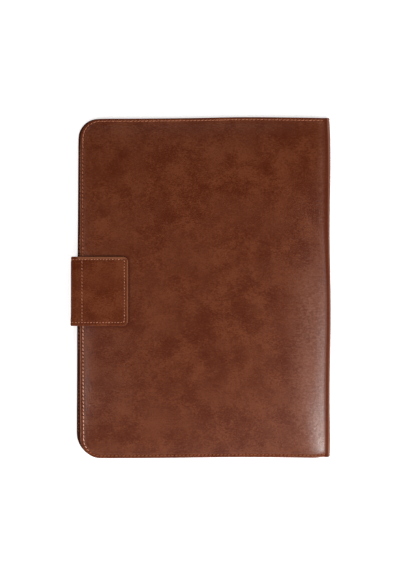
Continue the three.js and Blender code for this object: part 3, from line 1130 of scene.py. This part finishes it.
# Painted light on the thread: the stitch tone rises along the lip's lower half, where light falls, and
# along the upper end.
def painted_stitch_light(places):
    run, y = places.T
    on_ends = 0.12 + 0.38 * rise(y, *ENDS_UPPER)
    on_lip = 0.34 + 0.72 * rise(-y, *GLOW_LOWER) + 0.22 * rise(y, *GLOW_TOP)
    return on_ends + (on_lip - on_ends) * (1.0 - rise(run, *AT_LIP))


def end_stretch(places):
    y = places[:, 1]
    return 1.08 + 0.50 * rise(y, *TOP_END) + 0.15 * rise(-y, *BOTTOM_END)


near_spots = near_walk.middles
near_height = body_wall(near_spots) * WALL + THREAD_LIFT
far_height = body_wall(far_walk.middles) * WALL - FAR_THREAD_SINK
near_tone = painted_stitch_light(near_spots)
near_size = end_stretch(near_spots)
near_stitches = lay_stitches(
    "near_panel_stitching", fold_leather, [near_walk], near_height, near_tone, stretch=near_size
)
far_stitches = lay_stitches("far_panel_stitching", fold_leather, [far_walk], far_height)
print("stitch faces:", len(near_stitches.data.polygons), len(far_stitches.data.polygons))

# %% [markdown]
# ## Stitches inside the mouth
# A saddle stitch shows on both faces of the leather. Along the lips the inner row can be seen when one
# looks into the mouth, so those stitches are laid on the inside too.

# %% Inner rows along the lips
INNER_LIFT = 0.02
INNER_TONE = 0.3


def lip_only(one):
    keep = np.abs(one.middles[:, 1]) < HALF_LENGTH - FAR_LOWER_RADIUS
    return one._replace(middles=one.middles[keep], ways=one.ways[keep], pitches=one.pitches[keep])


lip_walks = [lip_only(near_walk), lip_only(far_walk)]
inner_stitches = lay_stitches(
    "mouth_inner_stitching", fold_leather, lip_walks, INNER_LIFT, INNER_TONE, inside=True
)
print("inner stitches:", len(inner_stitches.data.polygons) // len(stitch.data.polygons))

# %% [markdown]
# ## The closing tab
# The tab is a strip cut to its own flat length. It starts under the sleeve, turns round the mouth in a
# squarish bend and ends on the near panel. Its middle line is made as the measured model's is, and a point
# of the flat strip is carried along it by its distance from the strip's end. The bend flares out a little
# at its lower corner, and the lower leg bows down by a hair round the clasp.

# %% The tab's path
BEND_DEPTH = 6.2
BEND_SQUARENESS = 2.4
TAB_CORNER = 5.5
bend_start = TAB_BEND_X + TAB_WALL / 2 + BEND_DEPTH


def tab_top(x):
    return near_inside(x, TAB_Y) + WALL + CLEARANCE + TAB_WALL / 2


low_x = np.linspace(TAB_END_X, bend_start, 200)[:-1]
low_leg = np.stack([low_x, np.full_like(low_x, TAB_WALL / 2)], axis=1)
angles = np.linspace(math.pi, 0.0, 400)
half_height = (tab_top(bend_start) - TAB_WALL / 2) / 2
bend_x = bend_start - BEND_DEPTH * np.abs(np.sin(angles)) ** (2 / BEND_SQUARENESS)
squared = np.sign(np.cos(angles)) * np.abs(np.cos(angles)) ** (2 / BEND_SQUARENESS)
bend_z = TAB_WALL / 2 + half_height * (1.0 + squared)
top_x = np.linspace(bend_start, TAB_END_X, 200)[1:]
top_leg = np.stack([top_x, tab_top(top_x)], axis=1)
tab_path = np.concatenate([low_leg, np.stack([bend_x, bend_z], axis=1), top_leg])
tab_length = length_along(tab_path)
TAB_RUN = float(tab_length[-1])
print("tab flat cut, mm:", round(TAB_RUN, 1), "x", TAB_WIDTH)

# %% Wrap the tab
clasp_box = np.array([clasp.matrix_world @ Vector(corner) for corner in clasp.bound_box])
CLASP_AT = [in_mm(side) for side in clasp_box.mean(axis=0)]
CLASP_SEAT = (9.5, 4.0)
CLASP_BULGE = 0.15
LOWER_LEG_TOP = 4.0
BEND_FLARE = 0.8
FLARE_WIDTH = 5.0
FLARE_FROM = (24.0, 10.0)
PATH_NUDGE = 0.6


def wrap_tab(run, across):
    """The wrapped strip's inner face, in millimetres, for points of the flat strip."""
    run, across = np.broadcast_arrays(np.asarray(run, float), np.asarray(across, float))
    inside = np.clip(run, 0.0, TAB_RUN)
    after = np.minimum(inside + PATH_NUDGE, TAB_RUN)
    prior = np.maximum(inside - PATH_NUDGE, 0.0)
    x, z = along(tab_path, tab_length, inside).T
    step_x, step_z = (along(tab_path, tab_length, after) - along(tab_path, tab_length, prior)).T
    size = np.hypot(step_x, step_z)
    over = (run - inside) / size
    x = x + step_z / size * TAB_WALL / 2 + step_x * over
    z = z - step_x / size * TAB_WALL / 2 + step_z * over
    at_bend = np.exp(-(((x - TAB_BEND_X) / FLARE_WIDTH) ** 2))
    x = x - BEND_FLARE * at_bend * rise(-across, *FLARE_FROM)
    from_clasp = np.hypot(x - CLASP_AT[0], across + TAB_Y - CLASP_AT[1])
    z = z - CLASP_BULGE * (1.0 - rise(from_clasp, *CLASP_SEAT)) * (z < LOWER_LEG_TOP)
    return np.stack([x, across + TAB_Y, z], axis=-1)


bend_run = tab_length[len(low_leg)]
bend_end = tab_length[len(low_leg) + len(angles) - 1]
print("bend runs, mm:", round(bend_run, 1), "to", round(bend_end, 1))

# %% Cut and wrap the tab
TAB_RINGS = [0.5, 1.2, 2.0, 2.6, 3.1, 3.7, 4.3, 5.4]
TAB_WALL_AT = [0.0, *TAB_RINGS]
TAB_WALL_SHARE = [0.66, 0.84, 0.95, 0.96, 0.90, 0.86, 0.87, 0.92, 1.0]
FLAT_AFTER_BEND = 2.0


def tab_edge(places):
    return edge_distance(*places.T, TAB_RUN, TAB_WIDTH, TAB_CORNER)


def tab_wall(places):
    return np.interp(tab_edge(places), TAB_WALL_AT, TAB_WALL_SHARE)


def on_bend(places):
    return (places[:, 0] > bend_run) & (places[:, 0] < bend_end - FLAT_AFTER_BEND)


tab_lines = np.concatenate([
    np.linspace(TAB_CORNER, bend_run - 3.0, 8),
    np.linspace(bend_run, bend_end, 17),
    np.linspace(bend_end + 2.5, TAB_RUN - TAB_CORNER, 9),
])
tab_across = np.linspace(TAB_CORNER - TAB_WIDTH / 2, TAB_WIDTH / 2 - TAB_CORNER, 10)
tab = start_cut("closure_tab_sheet", TAB_RUN, TAB_WIDTH)
round_corner(tab, lambda spot: spot[:, 0] > -1.0, TAB_CORNER, 6)
tab_area = mark_cut(tab, TAB_RINGS, tab_lines, tab_across)
shape_sheet(tab, wrap_tab, tab_wall)
thicken(tab, TAB_WALL, [tab_leather, lining, painted_edge])
finish_border(tab, tab_bent_leather, on_bend)
print("tab:", len(tab.data.polygons), "faces, area", round(tab_area, 5), "square metres")

# %% [markdown]
# ## Stitching on the tab
# One line of stitches runs all round the strip, a little further in at its visible end, and a second row
# crosses it just past the mouth, where the tab is sewn to the near panel. The tab's upper rim and its end
# take a painted highlight, and its bend is darker where it turns down, a painted shade.

# %% Tab stitches
TAB_END_MARGIN = 3.9
TAB_UPPER_MARGIN = 3.0
TAB_LOWER_MARGIN = 3.6
TAB_BACK_MARGIN = 3.2
CROSS_ROW_X = -117.8
LINE_BEND = 2.5
TAB_PITCH = 3.0
CROSS_PITCH = 3.4
CROSS_INSET = 1.0
TAB_TONE = 0.48
TAB_UPPER_RIM = (1.8, 1.2)
TAB_END_RIM = (0.9, 0.9)
TAB_OUTERMOST = (0.1, 0.5)
BEND_SHADE = 0.5
BEND_SHADE_BACK = 7.5
BEND_SHADE_WIDTH = 2.0
low_side = TAB_LOWER_MARGIN - TAB_WIDTH / 2
high_side = TAB_WIDTH / 2 - TAB_UPPER_MARGIN


def tab_border():
    left, right = TAB_BACK_MARGIN + LINE_BEND, TAB_RUN - TAB_END_MARGIN - LINE_BEND
    low, high = low_side + LINE_BEND, high_side - LINE_BEND
    line = bend_corner((left, high), LINE_BEND, math.pi, math.pi / 2)
    line += bend_corner((right, high), LINE_BEND, math.pi / 2, 0.0)
    line += bend_corner((right, low), LINE_BEND, 0.0, -math.pi / 2)
    line += bend_corner((left, low), LINE_BEND, -math.pi / 2, -math.pi)
    return [*line, line[0]]


top_part = tab_length > bend_end
cross_run = float(np.interp(CROSS_ROW_X, tab_path[top_part, 0], tab_length[top_part]))
cross_row = [(cross_run, high_side - CROSS_INSET), (cross_run, low_side + CROSS_INSET)]
border_walk = walk(tab_border(), TAB_PITCH)
cross_walk = walk(cross_row, CROSS_PITCH)
tab_walks = [border_walk, cross_walk]
measure_lines(tab, tab_walks, tab_edge)


# Painted highlight on the tab's upper rim and its end.
def tab_painted_highlight(places):
    from_side = TAB_WIDTH / 2 - places[:, 1]
    from_end = TAB_RUN - places[:, 0]
    upper = 0.9 * (1.0 - rise(from_side, *TAB_UPPER_RIM)) * rise(from_side, *TAB_OUTERMOST)
    end = 0.8 * (1.0 - rise(from_end, *TAB_END_RIM)) * rise(from_end, *TAB_OUTERMOST)
    return np.maximum(upper, end) * (places[:, 0] > bend_end)


# Painted shade on the tab's bend, where it turns down.
def tab_bend_shade(places):
    past_dark = places[:, 0] - (bend_end - BEND_SHADE_BACK)
    return BEND_SHADE * np.exp(-((past_dark / BEND_SHADE_WIDTH) ** 2))


tab_places = flat_places(tab.data)
keep_measures(tab, {"painted_highlight": tab_painted_highlight(tab_places), "fold_shade": tab_bend_shade(tab_places)})
tab_spots = joined(tab_walks, "middles")
tab_height = tab_wall(tab_spots) * TAB_WALL + THREAD_LIFT
tab_stitches = lay_stitches("tab_stitching", wrap_tab, tab_walks, tab_height, TAB_TONE)
bpy.data.objects.remove(stitch)
print("tab stitches:", len(tab_spots))

# %% [markdown]
# ## Which piece stands for what
# The two leather sheets stand for two of the measured model's solids, and the third, the clasp, is shown as
# it is. All pieces move together, since the sleeve has no rigid joint.

sewn_on = {
    body: "body_leather",
    near_stitches: "body_leather",
    far_stitches: "body_leather",
    inner_stitches: "body_leather",
    tab: "tab_leather",
    tab_stitches: "tab_leather",
}
for piece, slot_name in sewn_on.items():
    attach(piece, "root")
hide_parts("leather_body")
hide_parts("closure_tab")
